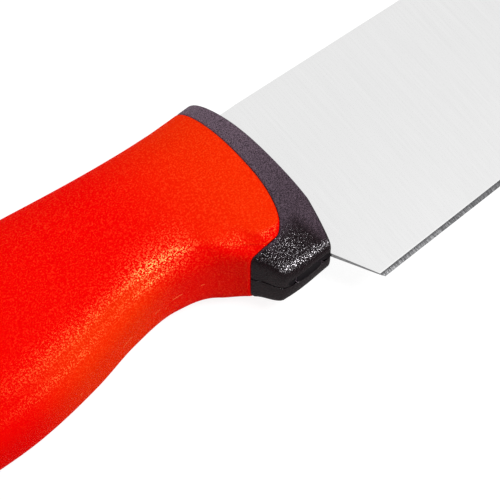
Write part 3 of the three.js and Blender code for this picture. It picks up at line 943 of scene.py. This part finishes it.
def painted_glint_line(surface):
    """1 in dashes along the underside, on the mould's parting line, where a pale highlight is painted into the
    colour.
    """
    drawn = surface.drawn()
    aside = surface.maths("ABSOLUTE", drawn["Z"])
    on_line = surface.maths("LESS_THAN", aside, GLINT_LINE_HALF_WIDTH)
    below = surface.maths("LESS_THAN", drawn["Y"], GLINT_LINE_TOP)
    patches = surface.noise(1, detail=3.0, roughness=0.6, stretch=GLINT_LINE_DASHES)
    dashes = surface.maths("GREATER_THAN", patches, GLINT_LINE_NOISE)
    return surface.maths("MULTIPLY", surface.maths("MULTIPLY", on_line, below), dashes)


def black_plastic():
    """The hard core: dark grey on the sides of the collar, lighter towards its top as painted light, near
    black as painted shade where it faces down under the guard, with bright grains on the guard.
    """
    material, surface, shader = new_material("core_plastic")
    grain = surface.noise(GRAIN_SCALE, detail=1.0)
    specks = surface.noise(SPECK_SCALE, detail=1.0)
    height = surface.height()
    behind_line = behind_flank_line(surface)
    ahead = surface.fading(behind_line, -1.2, 1.4)
    # Painted shade: surfaces facing down under the guard get near black, except the flanks ahead of the
    # slanted line; the sides and top keep the grey
    unshaded_front = surface.maths("MULTIPLY", facing_side_or_up(surface, 0.5, 0.7), ahead)
    unshaded_sides = surface.maths("MAXIMUM", facing_side_or_up(surface, 0.78, 0.97), unshaded_front)
    side_grey = surface.ramp(specks, GRAIN_SPAN, PLASTIC_SIDE_GREY)
    lit_top = surface.ramp(specks, GRAIN_SPAN, PLASTIC_LIT_TOP)
    # Painted light: the grey grows lighter towards the collar's top
    grey_and_lit = surface.mixed(surface.eased(height, *COLLAR_LIGHT_HEIGHT), side_grey, lit_top)
    shaded_under = surface.ramp(grain, GRAIN_SPAN, PLASTIC_PAINTED_SHADE)
    grained = surface.bump(grain, strength=1.0, distance=0.00022)
    surface.feed(shader, {
        "Base Color": surface.mixed(unshaded_sides, shaded_under, grey_and_lit),
        "Roughness": surface.scaled(surface.noise(PATCH_SCALE, detail=3.0), 0.4, 0.55),
        "Normal": grained,
        "Specular IOR Level": 0.02,
    })
    flank = surface.maths("SUBTRACT", facing_side_or_up(surface, 0.3, 0.6), facing_side_or_up(surface, 0.74, 0.98))
    shine = surface.maths("MULTIPLY", flank, surface.eased(behind_line, 0, 5))
    ridge = surface.maths("MULTIPLY", flank, surface.window(height, *RIDGE_HEIGHT))
    dull_glint = surface.ramp(grain, (0.4, 0.65), PLASTIC_DULL_GLINT)
    flank_glint = surface.ramp(specks, (0.57, 0.72), PLASTIC_GLINT)
    ridge_glint = surface.ramp(specks, (0.53, 0.68), PLASTIC_RIDGE_GLINT)
    glint = surface.mixed(ridge, surface.mixed(shine, dull_glint, flank_glint), ridge_glint)
    add_glints(surface, shader, glint, grained, roughness=0.14)
    return material


def facing_side_or_up(surface, low, high):
    """1 on the sides and top, 0 where the surface faces down under the guard, by the surface's normal."""
    normal = surface.normal()
    sideways = surface.eased(surface.maths("ABSOLUTE", normal["Z"]), low, high)
    upwards = surface.eased(normal["Y"], -0.3, 0.0)
    return surface.maths("MAXIMUM", sideways, upwards)


def behind_flank_line(surface):
    """Distance behind the slanted line from the guard's nose to the grip, in millimetres."""
    slant = math.radians(FLANK_LINE_DEGREES)
    back = surface.maths("MULTIPLY", surface.behind(), math.cos(slant))
    rise = surface.maths("MULTIPLY", surface.height(), math.sin(slant))
    return surface.maths("SUBTRACT", back, rise)


def recess_shade_plastic():
    """The plastic inside the recess, painted near black as shade, dull and mottled."""
    material, surface, shader = new_material("recess_shade_plastic")
    mottle = surface.noise(MOTTLE_SCALE, detail=3.0)
    surface.feed(shader, {
        # Painted shade: the recess's faces are near black
        "Base Color": surface.ramp(mottle, (0.35, 0.75), PLASTIC_RECESS_SHADE),
        "Roughness": surface.scaled(mottle, 0.5, 0.7),
        "Specular IOR Level": 0.1,
    })
    return material


def bare_steel(name, colours, stretch, detail, span):
    """Steel with fine lines: the material, its nodes, its main shader and the lines."""
    material, surface, shader = new_material(name)
    lines = surface.noise(1, detail, roughness=0.6, stretch=stretch)
    surface.feed(shader, {"Base Color": surface.ramp(lines, span, colours), "Metallic": 1.0})
    return material, surface, shader, lines


def satin_steel():
    """The sides of the blade, finished across their length."""
    steel = bare_steel("blade_steel", STEEL_SATIN, SATIN_LINES, detail=4.0, span=(0.25, 0.75))
    material, surface, shader, lines = steel
    cloud = surface.noise(CLOUD_SCALE, detail=3.0)
    normal = surface.bump(lines, strength=0.08, distance=0.00002)
    surface.feed(shader, {"Roughness": surface.scaled(cloud, 0.2, 0.25), "Normal": normal})
    return material


def ground_steel():
    """The cutting bevel and the heel's face, with deeper lines from grinding, and a darkened steel that paints
    in their darker reflection.
    """
    # Painted reflection: the ground faces' steel is darkened
    steel = bare_steel("ground_edge", STEEL_DARK_REFLECTION, GROUND_LINES, detail=3.0, span=(0.3, 0.7))
    material, surface, shader, lines = steel
    normal = surface.bump(lines, strength=0.1, distance=0.00004)
    surface.feed(shader, {"Roughness": surface.scaled(lines, 0.14, 0.24), "Normal": normal})
    return material


def pin_steel():
    """The pins, drawn along their length."""
    steel = bare_steel("pin_steel", STEEL_DRAWN, DRAWN_LINES, detail=3.0, span=(0.3, 0.7))
    material, surface, shader, lines = steel
    surface.feed(shader, {"Roughness": surface.scaled(lines, 0.3, 0.5)})
    return material


def face_centres(mesh):
    """Middles of a mesh's faces in the drawing frame."""
    return np.array([face.center[:] for face in mesh.polygons]) * MM_PER_METRE - SHIFT


def give_second_material(mesh, chosen):
    """Give the chosen faces the second material, and the others the first."""
    mesh.polygons.foreach_set("material_index", chosen.astype(np.int32))
    mesh.update()


def ground_faces(blade):
    """The cutting bevel and the heel's end face are ground, and get the second material."""
    mesh = blade.data
    across = np.array([abs(face.normal.z) for face in mesh.polygons])
    x, y, _ = face_centres(mesh).T
    edge_x, edge_y = edge_points(EDGE_SAMPLES).T
    bevel = (y < np.interp(x, edge_x, edge_y) + BEVEL_HEIGHT * 0.98) & (x > HEEL_LEAN * 0.9)
    heel = (across < 0.5) & (x < HEEL_LEAN + 0.5) & (y < HEEL_FACE_TOP)
    give_second_material(mesh, bevel | heel)


def recess_faces(half):
    """The faces that the recess lens left on one core half get the second material."""
    mesh = half.data
    depth = np.linalg.norm((face_centres(mesh) - RECESS_MIDDLE) / RECESS_REACH, axis=1)
    give_second_material(mesh, depth < 1 + LENS_TOLERANCE)


def set_materials(thing, *materials):
    """Give an object these materials in place of those it has."""
    thing.data.materials.clear()
    for material in materials:
        thing.data.materials.append(material)


# The knife

blade = make_blade()
set_materials(blade, satin_steel(), ground_steel())
ground_faces(blade)
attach(blade, "root")
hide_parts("blade")

# The recess's faces get near black painted shade
plastic, shaded_recess = black_plastic(), recess_shade_plastic()
for name, node, side in (("collar_right", "core_right", 1), ("collar_left", "core_left", -1)):
    half = half_core(name, side)
    set_materials(half, plastic, shaded_recess)
    recess_faces(half)
    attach(half, "root")
    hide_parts(node)

sleeve = make_sleeve()
set_materials(sleeve, red_rubber())
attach(sleeve, "root")
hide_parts("grip_sleeve")

drawn_steel = pin_steel()
for node in ("tang_pin_front", "tang_pin_middle", "tang_pin_rear"):
    set_materials(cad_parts[node], drawn_steel)


# Studio

def background_rays(surface):
    """1 for the rays that show the white background: seen directly, in metal or through glass."""
    path = surface.node("ShaderNodeLightPath")
    seen = surface.maths("MAXIMUM", path.outputs["Is Camera Ray"], path.outputs["Is Glossy Ray"])
    return surface.maths("MAXIMUM", seen, path.outputs["Is Transmission Ray"])


def make_floor():
    """A pale floor that shows white where it is seen, and still takes the knife's shadow."""
    half, low = FLOOR_HALF_SIZE, -FLOOR_DROP
    mesh = bpy.data.meshes.new("floor")
    corners = [(-half, -half, low), (half, -half, low), (half, half, low), (-half, half, low)]
    mesh.from_pydata(corners, [], [(0, 1, 2, 3)])
    floor = bpy.data.objects.new("floor", mesh)
    bpy.context.scene.collection.objects.link(floor)
    material, surface, shader = new_material("floor_white")
    surface.feed(shader, {"Base Color": FLOOR_GREY, "Roughness": 0.9})
    matte = shader.outputs["BSDF"]
    glow = surface.node("ShaderNodeEmission", {"Color": WHITE, "Strength": FLOOR_GLOW})
    both = surface.node("ShaderNodeAddShader", {0: matte, 1: glow.outputs["Emission"]})
    inputs = {"Fac": background_rays(surface), 1: matte, 2: both.outputs["Shader"]}
    switch = surface.node("ShaderNodeMixShader", inputs)
    surface.feed(surface.nodes["Material Output"], {"Surface": switch.outputs["Shader"]})
    mesh.materials.append(material)


def make_world():
    """Soft light from all round, which shows as white in the background and in metal."""
    world = bpy.data.worlds.new("studio")
    bpy.context.scene.world = world
    world.use_nodes = True
    surface = Surface(world.node_tree)
    ambient = surface.nodes["Background"]
    surface.feed(ambient, {"Color": WHITE, "Strength": WORLD_LIGHT})
    white = surface.node("ShaderNodeBackground", {"Color": WHITE, "Strength": 1.0})
    unseen, seen = ambient.outputs["Background"], white.outputs["Background"]
    inputs = {"Fac": background_rays(surface), 1: unseen, 2: seen}
    switch = surface.node("ShaderNodeMixShader", inputs)
    surface.feed(surface.nodes["World Output"], {"Surface": switch.outputs["Shader"]})


def add_softbox(name, direction, distance, size, power):
    """A square area lamp that faces the lamps' target from a direction and a distance."""
    lamp = bpy.data.lights.new(name, "AREA")
    lamp.size = size
    lamp.energy = power
    holder = bpy.data.objects.new(name, lamp)
    target = Vector(placed(LAMP_TARGET))
    holder.location = target + Vector(direction).normalized() * distance
    holder.rotation_euler = (holder.location - target).to_track_quat("Z", "Y").to_euler()
    bpy.context.scene.collection.objects.link(holder)


def make_camera():
    """The photograph's view: the camera is set so that the blade's root falls on its pixel."""
    elevation, azimuth = math.radians(CAMERA_ELEVATION), math.radians(CAMERA_AZIMUTH)
    back = np.array([
        math.sin(azimuth) * math.cos(elevation),
        -math.cos(azimuth) * math.cos(elevation),
        math.sin(elevation),
    ])
    right = np.array([math.cos(azimuth), math.sin(azimuth), 0.0])
    up = np.cross(back, right)
    across = (ROOT_PIXEL[0] - PHOTO_SIZE / 2) / PIXELS_PER_MM
    down = (ROOT_PIXEL[1] - PHOTO_SIZE / 2) / PIXELS_PER_MM
    place = CAMERA_DISTANCE * back - across * right + down * up
    lens = bpy.data.cameras.new("camera")
    lens.sensor_width = SENSOR_WIDTH
    lens.lens = SENSOR_WIDTH * PIXELS_PER_MM * CAMERA_DISTANCE / PHOTO_SIZE
    lens.clip_start = 0.01
    camera = bpy.data.objects.new("camera", lens)
    matrix = Matrix((right, up, back)).transposed().to_4x4()
    matrix.translation = Vector(placed(place))
    camera.matrix_world = matrix
    bpy.context.scene.collection.objects.link(camera)
    bpy.context.scene.camera = camera


make_floor()
make_world()
add_softbox("key", (0.2, -0.36, 0.91), distance=0.9, size=0.25, power=4.1)
add_softbox("low", (0.26, -0.9, 0.35), distance=0.9, size=0.2, power=3.35)
add_softbox("top", (-0.25, 0.8, 0.5), distance=1.0, size=0.5, power=5.2)
make_camera()
bpy.context.scene.view_settings.view_transform = "Standard"
